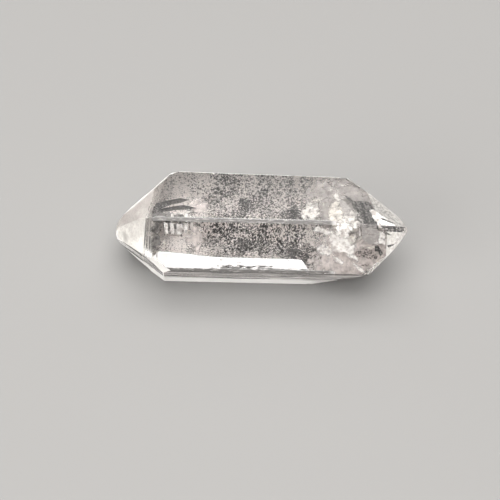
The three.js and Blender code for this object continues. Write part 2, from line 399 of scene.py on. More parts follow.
class Nodes:
    """A material's nodes: each call adds one node and hands back its output."""

    def __init__(self, name, rough=0.02, tint=(1, 1, 1, 1), transmission=1.0):
        self.material = bpy.data.materials.new(name)
        self.material.use_nodes = True
        self.tree = self.material.node_tree
        self.shader = self.tree.nodes["Principled BSDF"]
        self.set("IOR", QUARTZ_IOR)
        self.set("Roughness", rough)
        self.set("Base Color", tint)
        self.set("Transmission Weight", transmission)
        co = self.tree.nodes.new("ShaderNodeTexCoord")
        self.place = self.vector("SCALE", co.outputs["Object"], scale=1 / MM)

    def set(self, socket, value):
        self.shader.inputs[socket].default_value = value

    def drive(self, socket, output):
        self.tree.links.new(output, self.shader.inputs[socket])

    def put(self, node, values):
        """Fills a node's inputs: an output is linked, a value is set and None is left alone."""
        for socket, value in values:
            if isinstance(value, bpy.types.NodeSocket):
                self.tree.links.new(value, node.inputs[socket])
            elif value is not None:
                node.inputs[socket].default_value = value

    def vector(self, operation, a, b=None, scale=None):
        n = self.tree.nodes.new("ShaderNodeVectorMath")
        n.operation = operation
        self.put(n, ((0, a), (1, b)))
        if scale is not None:
            n.inputs["Scale"].default_value = scale
        return n.outputs["Value" if operation == "DOT_PRODUCT" else "Vector"]

    def math(self, operation, a, b=None, c=None, clamp=False):
        n = self.tree.nodes.new("ShaderNodeMath")
        n.operation, n.use_clamp = operation, clamp
        self.put(n, ((0, a), (1, b), (2, c)))
        return n.outputs[0]

    def noise(self, scale, detail=3.0, roughness=0.55, vector=None, output="Fac"):
        n = self.tree.nodes.new("ShaderNodeTexNoise")
        self.put(n, (("Vector", vector or self.place), ("Scale", scale)))
        self.put(n, (("Detail", detail), ("Roughness", roughness)))
        return n.outputs[output]

    def stripes(self, direction, pitch, detail=2.0):
        """Irregular lines square to a direction: noise along that direction alone."""
        n = self.tree.nodes.new("ShaderNodeTexNoise")
        n.noise_dimensions = "1D"
        self.put(n, (("W", self.along(direction)), ("Scale", 1 / pitch)))
        n.inputs["Detail"].default_value = detail
        return n.outputs["Fac"]

    def ramp(self, value, start, end, low=0.0, high=1.0):
        """Goes smoothly from low to high while the value goes from start to end."""
        n = self.tree.nodes.new("ShaderNodeMapRange")
        n.interpolation_type = "SMOOTHSTEP"
        self.put(n, (("Value", value), ("From Min", start), ("From Max", end)))
        self.put(n, (("To Min", low), ("To Max", high)))
        return n.outputs[0]

    def along(self, direction, start=0.0):
        """How far a place lies along a direction, past start."""
        reach = self.vector("DOT_PRODUCT", self.place, tuple(direction))
        return self.math("SUBTRACT", reach, start) if start else reach

    def times(self, a, b):
        return self.math("MULTIPLY", a, b)

    def mix(self, factor, a, b):
        n = self.tree.nodes.new("ShaderNodeMix")
        n.data_type = "RGBA"
        self.put(n, (("Factor", factor), ("A", a), ("B", b)))
        return n.outputs["Result"]

    def axis(self, which, vector=None):
        """One coordinate of a place, or one channel of a vector."""
        n = self.tree.nodes.new("ShaderNodeSeparateXYZ")
        self.put(n, ((0, vector or self.place),))
        return n.outputs[which]

    def join(self, x, y):
        n = self.tree.nodes.new("ShaderNodeCombineXYZ")
        self.put(n, (("X", x), ("Y", y)))
        return n.outputs[0]

    def blocks(self, scale, vector=None):
        """Boxy patches, each of its own level."""
        n = self.tree.nodes.new("ShaderNodeTexVoronoi")
        n.distance = "CHEBYCHEV"
        self.put(n, (("Vector", vector or self.place), ("Scale", scale)))
        return self.axis("X", n.outputs["Color"])

    def bump(self, height, depth):
        n = self.tree.nodes.new("ShaderNodeBump")
        self.put(n, (("Height", height), ("Distance", depth * MM)))
        return n.outputs["Normal"]

    def zones(self, spots, ragged=0.7):
        """The sum of boxy spots, their edges broken up by noise."""
        if not spots:
            return 0.0
        jitter = self.vector("SUBTRACT", self.noise(0.9, 4, 0.7, output="Color"), (0.5, 0.5, 0.5))
        bent = self.vector("ADD", self.place, self.vector("SCALE", jitter, scale=ragged * 2))
        total = 0.0
        for x, y, half_x, half_y, amount in spots:
            off = self.vector("SUBTRACT", bent, (x, y, 0))
            off = self.vector("MULTIPLY", off, (1 / half_x, 1 / half_y, 0))
            off = self.vector("ABSOLUTE", off)
            far = self.math("MAXIMUM", self.axis("X", off), self.axis("Y", off))
            spot = self.ramp(far, 1.3, 0.75, 0.0, amount)
            total = self.math("ADD", spot, total)
        return total


def clear_quartz(name="clear_quartz", bruised=None, width=1.0, pitted=()):
    """Smooth prism faces: glass with a faint ripple, a few shallow growth marks and one bruised edge.

    bruised is that edge, width how far the bruises reach from it, and pitted lists the zones where the
    face has small pits painted dark as painted shade.
    """
    n = Nodes(name, rough=0.012, tint=CLEAR)
    ripple = n.noise(0.5, 2, 0.5)
    marks = n.ramp(n.noise(1.6, 5, 0.7), 0.66, 0.74)
    n.drive("Normal", n.bump(n.math("MULTIPLY_ADD", marks, 0.1, ripple), 0.02))
    if bruised:
        reach = n.times(n.along(*bruised), -1 / width)
        wear = n.math("MULTIPLY_ADD", n.noise(1.5, 4, 0.7), 0.4, reach)
        wear = n.times(n.ramp(wear, -0.60, -0.40, 0.0, 0.96), n.ramp(n.axis("X"), 9.6, 8.4))
        drawn_out = n.vector("MULTIPLY", n.place, (1.2, 5.0, 5.0))
        dashes = n.ramp(n.noise(1.0, 4, 0.7, vector=drawn_out), 0.52, 0.62)
        bruise = n.mix(dashes, (0.07, 0.065, 0.062, 1), (0.24, 0.23, 0.22, 1))
        pits = n.math("ADD", n.noise(4.4, 4, 0.7), n.zones(pitted, 0.7))
        pits = n.ramp(pits, 0.70, 0.73)
        # the pits are painted near-black: painted shade for the dark surroundings seen through them
        n.drive("Base Color", n.mix(pits, n.mix(wear, CLEAR, bruise), NEAR_BLACK))
        n.drive("Transmission Weight", n.math("SUBTRACT", 1.0, n.math("MAXIMUM", wear, pits)))
    return n.material


def lined_face(name, edge, face, foot, fine, dark, pale, top_line=0.0, through=0.45):
    """A steep face with fine lines along one of its edges, and a painted highlight at its foot: white that
    stands for light reflected inside the crystal.

    foot is how far from the edge the painted highlight begins, fine how many lines there are to a
    millimetre, top_line the width of a dark line at the edge, and through how much light the face lets in.
    """
    n = Nodes(name, rough=0.25)
    distance = n.along(*edge)
    along = n.along(NORMALS[face].cross(edge[0]))
    streaks = n.noise(1.0, 4, 0.6, vector=n.join(n.times(along, 0.12), n.times(distance, fine)))
    # white: the foot of the face painted white, a painted highlight for light reflected inside the crystal
    white = n.ramp(n.math("MULTIPLY_ADD", streaks, 1.4, distance), foot, foot + 1.0)
    grey = n.mix(n.ramp(streaks, 0.44, 0.54), dark, pale)
    if top_line:
        grey = n.mix(n.ramp(distance, 3 * top_line, top_line), grey, (0.10, 0.095, 0.09, 1))
    specks = n.times(n.ramp(n.noise(3.0, 4, 0.7), 0.54, 0.62), n.ramp(n.axis("X"), -6.0, -11.0))
    grey = n.mix(n.times(specks, 0.9), grey, (0.04, 0.038, 0.036, 1))
    n.drive("Base Color", n.mix(white, grey, WHITE))
    n.drive("Transmission Weight", n.ramp(white, 0, 1, through, through * 0.6))
    n.drive("Roughness", n.ramp(white, 0, 1, 0.25, 0.8))
    n.drive("Normal", n.bump(streaks, 0.04))
    return n.material


def etched_quartz(name, dark, pale, clear_before=None, grain=3.3, depth=0.05, calm=0.0, squash=1.0):
    """An etched face: pits painted dark as painted shade for the dark surroundings seen through it, frosted
    grains between them, and growth bands.

    clear_before is the Y that the face is clear in front of, calm makes pits rarer, and squash draws
    them out in height.
    """
    n = Nodes(name, rough=0.05)
    at = n.vector("MULTIPLY", n.place, (1, 1, squash))
    fine = n.math("SUBTRACT", n.noise(grain * 2.4, 3, 0.6, vector=at), 0.5)
    fine = n.math("MULTIPLY_ADD", fine, 1.0, n.noise(grain, 5, 0.7, vector=at))
    bands = n.stripes((1, 0.06, 0), 0.9, 3)
    level = n.math("MULTIPLY_ADD", n.math("SUBTRACT", bands, 0.5), 0.2, fine)
    level = n.math("MULTIPLY_ADD", n.math("SUBTRACT", n.blocks(0.5, at), 0.5), 0.12, level)
    frosted = n.zones(pale)
    pits = n.math("MULTIPLY_ADD", frosted, -0.2, n.math("ADD", level, n.zones(dark)))
    pits = n.ramp(pits, 0.55 + calm, 0.58 + calm)
    frost = n.ramp(n.math("SUBTRACT", frosted, level), -0.52 + calm, -0.47 + calm)
    if clear_before is not None:
        past = etched_edge(n, clear_before)
        pits, frost = n.times(pits, past), n.times(frost, past)
        streaks = n.noise(1.0, 4, 0.65, vector=n.vector("MULTIPLY", n.place, (0.9, 4.0, 1.0)))
        streaks = n.ramp(n.math("ADD", streaks, n.zones(BASE_STREAKS, 0.3)), 0.62, 0.68, 0.0, 0.9)
        pits = n.math("MAXIMUM", pits, n.times(streaks, n.ramp(n.axis("X"), -8.6, -7.8)))
    relief = n.math("MAXIMUM", frost, pits)
    colour = n.mix(frost, (1, 0.985, 0.975, 1), (0.98, 0.92, 0.89, 1))
    # the pits are painted near-black: painted shade for the dark surroundings seen through the etched face
    n.drive("Base Color", n.mix(pits, colour, (0.02, 0.019, 0.018, 1)))
    solid = n.math("MAXIMUM", n.times(frost, 0.75), n.times(pits, 0.85))
    n.drive("Transmission Weight", n.math("SUBTRACT", 1.0, solid))
    n.drive("Roughness", n.ramp(relief, 0, 1, 0.03, 0.4))
    n.drive("Normal", n.bump(n.times(relief, fine), depth * 4))
    return n.material


def etched_edge(n, y):
    """Where the base is etched: behind a ragged line at y, which swings forward at both ends."""
    edge = n.math("MULTIPLY_ADD", n.noise(1.4, 4, 0.7), 0.5, y - 0.25)
    edge = n.math("SUBTRACT", edge, n.ramp(n.axis("X"), 5.1, 7.5, 0.0, 5.0))
    left_end = n.math("MAXIMUM", n.math("MULTIPLY_ADD", n.axis("X"), -0.13, -0.68), 0.0)
    edge = n.math("ADD", edge, left_end)
    return n.ramp(n.math("SUBTRACT", n.axis("Y"), edge), -0.05, 0.1)


def frosted_quartz(name, milk, edge, margin=0.0, lined=1.0, tint=CREAM, flare=0.0,
                   ink=0.0, pitch=0.2, mottled=0.15, mottled_from=None):
    """A worn, milky face of a point, with fine lines along one of its edges and a clear margin beside it.

    lined is how far the lines reach past the margin, flare widens the margin towards the back, ink
    darkens lines that are pitch apart, and mottled dulls patches, from one X on where that is given.
    """
    n = Nodes(name, rough=0.35)
    away, start = edge
    cloud = n.noise(0.7, 4, 0.55)
    grit = n.noise(5.0, 3, 0.6)
    solid = n.ramp(n.math("MULTIPLY_ADD", grit, 0.2, cloud), 0.42, 0.75, milk * 0.7, milk)

    distance = n.along(away, start)
    lines = n.stripes(away, 0.3, 2)
    near = n.ramp(distance, margin, margin + 1.6 * lined, 1.0, 0.0)
    grooves = n.times(near, n.ramp(lines, 0.44, 0.56, 0.45, 0.0))
    solid = n.math("SUBTRACT", solid, grooves, clamp=True)
    height = n.math("MULTIPLY_ADD", n.times(near, n.ramp(lines, 0.42, 0.58)), 1.5, grit)
    if margin:
        wider = n.times(n.math("MAXIMUM", n.math("ADD", n.axis("Y"), 4.0), 0.0), flare)
        frost_starts = n.math("MULTIPLY_ADD", n.noise(1.1, 3, 0.6), 0.3, margin - 0.15)
        frost_starts = n.math("ADD", frost_starts, wider)
        frosted = n.ramp(n.math("SUBTRACT", distance, frost_starts), -0.06, 0.06)
        frosted = n.math("MAXIMUM", frosted, n.ramp(n.axis("Z"), 7.5, 7.2))
        solid = n.times(solid, n.math("MAXIMUM", frosted, 0.08))

    colour = n.mix(n.ramp(n.math("MULTIPLY_ADD", grit, 0.4, cloud), 0.5, 0.9), tint, CREAM)
    mottle = n.ramp(n.noise(3.2, 5, 0.75), 0.47, 0.56, 0.0, mottled)
    if mottled_from is not None:
        mottle = n.times(mottle, n.ramp(n.axis("X"), mottled_from, mottled_from + 1.2))
    colour = n.mix(mottle, colour, MOTTLE)
    if margin:
        low_corner = n.times(n.ramp(n.axis("Z"), 7.7, 7.3), n.ramp(n.axis("X"), -14.4, -13.6))
        colour = n.mix(low_corner, colour, WHITE)
    if ink:
        threads = n.times(near, n.ramp(n.stripes(away, pitch, 3), 0.46, 0.52, 0.0, ink))
        threads = n.times(threads, n.ramp(n.noise(1.6, 4, 0.7), 0.36, 0.50))
        threads = n.times(threads, n.ramp(n.axis("Z"), 7.3, 7.6))
        threads = n.times(threads, n.ramp(n.axis("Z"), 9.5, 9.0, 0.2, 1.0))
        colour = n.mix(threads, colour, NEAR_BLACK)
        solid = n.math("MAXIMUM", solid, threads)
    n.drive("Base Color", colour)
    n.drive("Transmission Weight", n.math("SUBTRACT", 1.0, solid))
    n.drive("Roughness", n.ramp(solid, 0.1, milk, 0.03, 0.5))
    n.drive("Normal", n.bump(height, 0.04))
    return n.material


def pale_point(name, x, y, slope):
    """The top face of the right point: greyish frost, and white in front of the line through (x, y)."""
    n = Nodes(name, rough=0.4)
    front = n.math("SUBTRACT", y - slope * x, n.axis("Y"))
    front = n.math("MULTIPLY_ADD", n.axis("X"), slope, front)
    ragged = n.math("MULTIPLY_ADD", n.math("SUBTRACT", n.noise(1.5, 4, 0.7), 0.5), 1.2, front)
    white = n.ramp(ragged, -0.1, 0.25)
    grit = n.noise(3.4, 5, 0.7)
    grey = n.mix(n.ramp(grit, 0.42, 0.56), (0.32, 0.31, 0.30, 1), (0.88, 0.86, 0.83, 1))
    n.drive("Base Color", n.mix(white, grey, WHITE))
    n.drive("Transmission Weight", n.ramp(white, 0, 1, 0.62, 0.15))
    n.drive("Normal", n.bump(grit, 0.05))
    return n.material


def worn_edge():
    """Edges rubbed white."""
    n = Nodes("worn_edge", rough=0.4)
    wear = n.ramp(n.noise(1.3, 4, 0.65), 0.35, 0.6, 0.5, 0.95)
    n.set("Base Color", (0.98, 0.965, 0.945, 1))
    n.drive("Transmission Weight", n.math("SUBTRACT", 1.0, wear))
    n.drive("Normal", n.bump(n.noise(6.0, 2, 0.5), 0.04))
    return n.material


def crystal_finishes(milk, depth):
    """The materials of the crystal: milk is how opaque its points are, and depth how deeply it is etched."""
    front_edge = from_edge("front_lower", "front_upper")
    left_front_edge = from_edge("left_front_lower", "left_front_upper")
    return [
        clear_quartz(),
        clear_quartz("clear_top", from_edge("top", "front_upper")),
        clear_quartz("clear_front", from_edge("front_upper", "front_lower"), 0.5, FRONT_PITS),
        lined_face(
            "lined_front", front_edge, "front_lower", foot=4.2, fine=2.2,
            dark=(0.22, 0.21, 0.205, 1), pale=(0.95, 0.92, 0.90, 1), top_line=0.3),
        lined_face(
            "lined_left_front", left_front_edge, "left_front_lower", foot=4.8, fine=1.1,
            dark=(0.09, 0.086, 0.083, 1), pale=(0.97, 0.95, 0.93, 1), through=0.15),
        etched_quartz("etched_back", BACK_DARK, BACK_PALE, depth=depth, squash=0.5),
        etched_quartz("etched_base", BASE_DARK, BASE_PALE, clear_before=1.38, depth=depth),
        etched_quartz(
            "etched_shoulder", SHOULDER_DARK, SHOULDER_PALE, grain=3.6, depth=depth, calm=0.08),
        frosted_quartz(
            "frosted_left", milk * 0.7, from_edge("left_top", "top"), margin=0.7, lined=0.6,
            tint=PINKISH, flare=0.18, ink=0.5, mottled=0.6),
        frosted_quartz(
            "frosted_left_front", milk * 1.2, from_edge("left_front_upper", "front_upper"),
            margin=1.5, lined=0.1, tint=GREYISH, ink=0.9, pitch=0.5, mottled=0.6),
        frosted_quartz(
            "frosted_left_low", milk * 1.5, from_edge("left_bottom", "left_front_lower"), lined=3),
        frosted_quartz(
            "frosted_right", milk * 0.6, from_edge("right_top", "right_back_upper"), lined=0.4),
        frosted_quartz(
            "frosted_right_front", milk * 1.5, from_edge("right_front_upper", "front_upper"),
            lined=0.4, tint=WHITE, mottled=0.8, mottled_from=15.2),
        pale_point("pale_point", 13.91, -1.87, -0.4485),
        etched_quartz("etched_tip_strip", TIP_STRIP_DARK, (), grain=4.0, depth=depth),
        worn_edge(),
    ]


def milky_veil(name, thin, full, most, flecks):
    """Flakes of a healed crack, thinning out towards its rim."""
    n = Nodes(name, rough=0.6, transmission=0.0)
    fullness = n.tree.nodes.new("ShaderNodeAttribute")
    fullness.attribute_name = "fullness"
    dust = n.math("SUBTRACT", n.noise(2.4, 6, 0.75), 0.5)
    lumps = n.math("SUBTRACT", n.noise(1.1, 5, 0.7), 0.5)
    level = n.math("MULTIPLY_ADD", dust, flecks, fullness.outputs["Fac"])
    level = n.math("MULTIPLY_ADD", lumps, flecks, level)
    n.drive("Base Color", n.mix(n.ramp(n.noise(1.7, 6, 0.72), 0.38, 0.58), thin, full))
    n.drive("Alpha", n.ramp(level, -0.1, 0.7, 0.0, most))
    return n.material


def rough_crack(name, deep, raised, hatch=0.0, coarse=2.6, dark_below=0.52):
    """The broken wall of an open crack, dark where its grain is low, with fine ridges across it."""
    n = Nodes(name, rough=0.5, transmission=0.0)
    grit = n.math("SUBTRACT", n.noise(8.0, 3, 0.6), 0.5)
    grain = n.math("MULTIPLY_ADD", grit, 0.7, n.noise(coarse, 5, 0.7))
    ridges = n.math("SUBTRACT", n.stripes((1, 0.2, 0), 0.22, 3), 0.5)
    grain = n.math("MULTIPLY_ADD", ridges, hatch, grain)
    n.drive("Base Color", n.mix(n.ramp(grain, dark_below, dark_below + 0.06), deep, raised))
    n.drive("Alpha", n.ramp(grain, 0.70, 0.60, 0.5, 1.0))
    n.drive("Normal", n.bump(grain, 0.08))
    return n.material


def shaded_slit_wall():
    """The smooth wall of a gas-filled slit, its colour painted dark as painted shade for the dark
    surroundings that the slit reflects.
    """
    n = Nodes("shaded_slit_wall", rough=0.06)
    grain = n.noise(3.2, 5, 0.7)
    # near-black to dark grey: painted shade for the dark surroundings that the slit reflects
    dark, pale = (0.015, 0.014, 0.013, 1), (0.15, 0.142, 0.135, 1)
    n.drive("Base Color", n.mix(n.ramp(grain, 0.42, 0.6), dark, pale))
    n.drive("Normal", n.bump(grain, 0.03))
    return n.material


# ---- operators ----


class QUARTZ_PG_settings(bpy.types.PropertyGroup):
    edge_wear: FloatProperty(
        name="Edge wear", description="Width of the rubbed strips along the edges", default=0.06 * MM,
        min=0.02 * MM, max=0.3 * MM, unit="LENGTH", subtype="DISTANCE")
    milkiness: FloatProperty(
        name="Milkiness", description="How opaque the frosted faces of the points are", default=0.6,
        min=0, max=1, subtype="FACTOR")
    etch_depth: FloatProperty(
        name="Etch depth", description="Depth of the relief on the etched back and base", default=0.05 * MM,
        min=0, max=0.3 * MM, unit="LENGTH", subtype="DISTANCE")
    veil_grain: FloatProperty(
        name="Veil grain", description="Size of one flake of the healed cracks", default=0.08 * MM,
        min=0.04 * MM, max=0.3 * MM, unit="LENGTH", subtype="DISTANCE")
    seed: IntProperty(name="Seed", description="Picks the raggedness of the healed cracks", default=31)
    floor_tone: FloatProperty(
        name="Floor tone", description="How much light the floor gives back", default=0.22,
        min=0, max=1, subtype="FACTOR")


class QUARTZ_OT_crystal(bpy.types.Operator):
    """Grow the crystal: prism, points, ledges, terraces and chips, with a finish for each kind of face"""

    bl_idname = "quartz.crystal"
    bl_label = "Grow Crystal"

    def execute(self, context):
        s = context.scene.quartz
        body = sharp_crystal()
        rub_edges(body, s.edge_wear / MM)
        bm = difference(body, cutters())
        if any(not e.is_manifold for e in bm.edges):
            raise RuntimeError("the crystal has an open edge")
        finishes = crystal_finishes(s.milkiness, s.etch_depth / MM)
        index = {m.name: i for i, m in enumerate(finishes)}
        for f in bm.faces:
            best, second = nearest_faces(f.normal)
            off = math.degrees(NORMALS[best].angle(f.normal))
            worn = off > WORN_ANGLE and frozenset((best, second)) in RUBBED
            f.material_index = index["worn_edge" if worn else FINISH[best]]
        piece("quartz_crystal", bm, finishes, "crystal")
        return {"FINISHED"}


# Gas-filled slits under the top face: how far under it, tilt about the slit's length in degrees, and the
# outlines of its two long sides.
SLITS = (
    (0.35, 4,
     ((-12.9, -1.45), (-11.9, -1.15), (-10.8, -0.75), (-9.9, -0.5), (-8.9, -0.75)),
     ((-12.9, -1.95), (-11.9, -1.9), (-10.9, -1.65), (-9.9, -1.4), (-8.9, -0.8))),
    (0.45, 4,
     ((-12.9, -2.75), (-11.7, -2.2), (-10.6, -1.88), (-9.5, -1.63), (-7.9, -2.1)),
     ((-12.9, -3.0), (-11.7, -2.9), (-10.5, -2.6), (-9.2, -2.45), (-7.9, -2.15))),
)
SLIT_STEPS_ALONG, SLIT_STEPS_ACROSS = 48, 8
SLIT_BULGE = 0.02  # half the thickness of a slit at its middle
SLIT_RIM = 0.002  # half its thickness at the rim
SLIT_ROUGHNESS = 0.02


class QUARTZ_OT_slits(bpy.types.Operator):
    """Open the gas-filled slits under the top face, near the left point"""

    bl_idname = "quartz.slits"
    bl_label = "Open Slits"

    def execute(self, context):
        bm = bmesh.new()
        top = MIDDLE.z + FACES["top"][2]
        for depth, tilt, upper, lower in SLITS:
            self.lens(bm, upper, lower, top - depth, math.tan(math.radians(tilt)))
        bmesh.ops.recalc_face_normals(bm, faces=bm.faces)
        bmesh.ops.reverse_faces(bm, faces=bm.faces)  # the quartz lies outside these walls
        piece("gas_slits", bm, [shaded_slit_wall()])
        return {"FINISHED"}

    def lens(self, bm, upper, lower, level, slope):
        """A thin closed lens between two lines, rough on both sides."""
        along, across = SLIT_STEPS_ALONG, SLIT_STEPS_ACROSS

        def point(line, s):
            t = s * (len(line) - 1)
            i = min(int(t), len(line) - 2)
            return Vector(line[i]).lerp(Vector(line[i + 1]), t - i)

        walls = []
        for side in (1, -1):
            rows = []
            for i in range(along + 1):
                a, b = point(upper, i / along), point(lower, i / along)
                swell = math.sin(math.pi * i / along) ** 0.5
                row = []
                for j in range(across + 1):
                    w = j / across
                    p = a.lerp(b, w)
                    half = SLIT_BULGE * math.sin(math.pi * w) * swell + SLIT_RIM
                    rough = SLIT_ROUGHNESS * noise.noise(Vector((p.x * 3, p.y * 3, 4)))
                    z = level + (a.lerp(b, 0.5).y - p.y) * slope + rough + side * half
                    row.append(bm.verts.new((p.x, p.y, z)))
                rows.append(row)
            walls.append(rows)
        up, down = walls
        for i in range(along):
            for j in range(across):
                bm.faces.new((up[i][j], up[i + 1][j], up[i + 1][j + 1], up[i][j + 1]))
                bm.faces.new((down[i][j], down[i][j + 1], down[i + 1][j + 1], down[i + 1][j]))
            for j in (0, across):
                bm.faces.new((up[i][j], down[i][j], down[i + 1][j], up[i + 1][j]))
        for i in (0, along):
            for j in range(across):
                bm.faces.new((up[i][j], up[i][j + 1], down[i][j + 1], down[i][j]))


# Healed cracks: the face they lie under and their kind of milkiness. Then, for each: how far under the
# face, its centre in the face's own axes, half length, half width, turn in degrees, and how full it is.
VEILS = (
    # Greyish and pinkish tints
    ("top", "grey_haze", (
        (1.3, 11.6, 0.4, 5.6, 5, 2, 0.85),
        (0.85, 8.95, -1.3, 1.05, 2.07, 2, 0.95))),
    ("front_upper", "pink_haze", (
        (1.3, 12.8, -1.9, 5.6, 3.8, 2, 0.9),
        (0.6, -7.1, 0.4, 1.1, 1.6, 2, 0.75))),
    ("top", "pink_haze", (
        (0.9, -6.9, -0.75, 1.9, 1.1, 2, 0.34),
        (0.9, -6.85, -1.2, 1.15, 0.95, 2, 1.1))),
    # Smoky tints near the left point
    ("top", "smoky_haze", (
        (0.4, -10.25, -3.65, 2.56, 0.65, 2, 0.95),)),
    ("front_upper", "smoky_haze", (
        (0.55, -11.75, 1.5, 0.73, 0.76, 2, 0.75),
        (0.55, -11.85, -0.05, 0.61, 1.02, 2, 0.95),
        (0.7, -9.8, 1.7, 1.6, 0.85, 2, 0.6))),
    # Beads and threads near the left point
    ("top", "white_veil", (
        (0.25, -9.9, -3.65, 0.18, 0.55, 2, 1.4),
        (0.25, -8.2, -3.35, 0.2, 0.52, 2, 1.4),
        (0.25, -7.65, -3.75, 0.16, 0.55, 2, 1.3),
        (0.25, -9.1, -3.9, 0.16, 0.4, 2, 1.3))),
    ("front_upper", "white_veil", (
        (0.4, -10.6, 1.7, 0.18, 0.75, 10, 1.6),
        (0.4, -9.9, 1.75, 0.18, 0.85, 10, 1.7),
        (0.4, -9, 1.6, 0.3, 0.85, 2, 1.6),
        (0.5, -8.05, 2.35, 0.44, 0.3, 22, 0.5),
        (0.4, -8.2, 1.75, 0.2, 0.51, 2, 1.3),
        (0.4, -7.5, 2, 0.2, 0.46, 2, 1.2),
        (0.4, -5.65, 2.7, 1.31, 0.12, 2, 0.36))),
    ("front_upper", "cream_veil", (
        (0.5, -10.75, -0.3, 0.74, 0.46, -30, 0.42),)),
    ("top", "pale_veil", (
        (0.6, -9.2, -2.75, 1.94, 0.18, 17, 0.9),
        (0.5, -6.8, -0.15, 1.04, 0.17, 2, 0.4))),
    # Under the top face, near the right point
    ("top", "pale_veil", (
        (0.55, 6.9, -1.9, 1.4, 1.7, 2, 0.72),
        (0.55, 11.45, -3.35, 1.16, 0.61, 2, 0.95),
        (0.5, 10.4, 0.8, 0.83, 0.8, 40, 0.75),
        (0.6, 9.75, 2.2, 0.93, 0.66, 2, 0.36),
        (0.5, 11, 2.85, 0.62, 0.26, 2, 0.42),
        (0.45, 12.3, -2.85, 0.92, 1.35, 2, 0.85))),
    ("top", "cream_veil", (
        (0.7, 10.2, -1.7, 0.86, 1.98, 2, 0.95),
        (0.5, 10.15, -2.45, 0.8, 1.2, 2, 1.2),
        (0.9, 8.6, -0.95, 0.82, 1.01, 2, 0.5),
        (0.8, 7.8, 0.45, 1, 0.56, 29, 0.35))),
    ("top", "white_veil", (
        (0.4, 15.05, -2.6, 1.38, 0.36, -67, 1.2),)),
    # Under the front face, near the right point
    ("front_upper", "white_veil", (
        (0.5, 11.3, 2.1, 0.73, 0.57, 2, 1.2),
        (0.7, 10.95, 0.6, 1.2, 2.4, 10, 1.4),
        (0.6, 10.9, 1.9, 0.8, 1, 2, 1),
        (0.5, 8.55, 1.75, 1.25, 0.42, -11, 0.75),
        (0.6, 8.85, -0.8, 1.2, 0.65, -19, 0.75),
        (0.5, 10.5, -1.95, 1.05, 0.34, -34, 0.75),
        (0.5, 12.2, -1.45, 0.9, 0.36, -39, 0.72),
        (0.4, 13.15, -2.9, 0.95, 0.32, -44, 0.7),
        (0.4, 13, 1.8, 0.12, 0.79, 2, 0.7),
        (0.4, 15.05, 0.45, 0.35, 0.42, 2, 0.7),
        (0.5, 11.95, -1.25, 0.61, 0.64, 2, 0.4),
        (0.5, 5.85, -0.15, 0.14, 0.64, 12, 0.6),
        (0.3, 15.8, 0.65, 0.39, 1.08, 2, 1.3))),
    ("front_upper", "cream_veil", (
        (0.8, 12.25, 1.25, 1, 1.1, 2, 0.62),
        (0.5, 14.05, -0.2, 1.12, 0.28, 2, 0.5))),
)
FRONT_TILT = 22.0  # the veils under the front face lean back, in degrees
HAZE_STEP = 2  # a haze is this much coarser than a veil
VEIL_REACH = 1.3  # a veil may spread this far past its half length and half width
VEIL_THINNEST = -0.25  # flakes less full than this are left out
VEIL_MARGIN = 0.12  # veils stay this far under every face


def inside(point, margin):
    """Whether a point lies inside the crystal, at least margin under every face."""
    return all(NORMALS[name].dot(point - MIDDLE) < FACES[name][2] - margin for name in FACES)


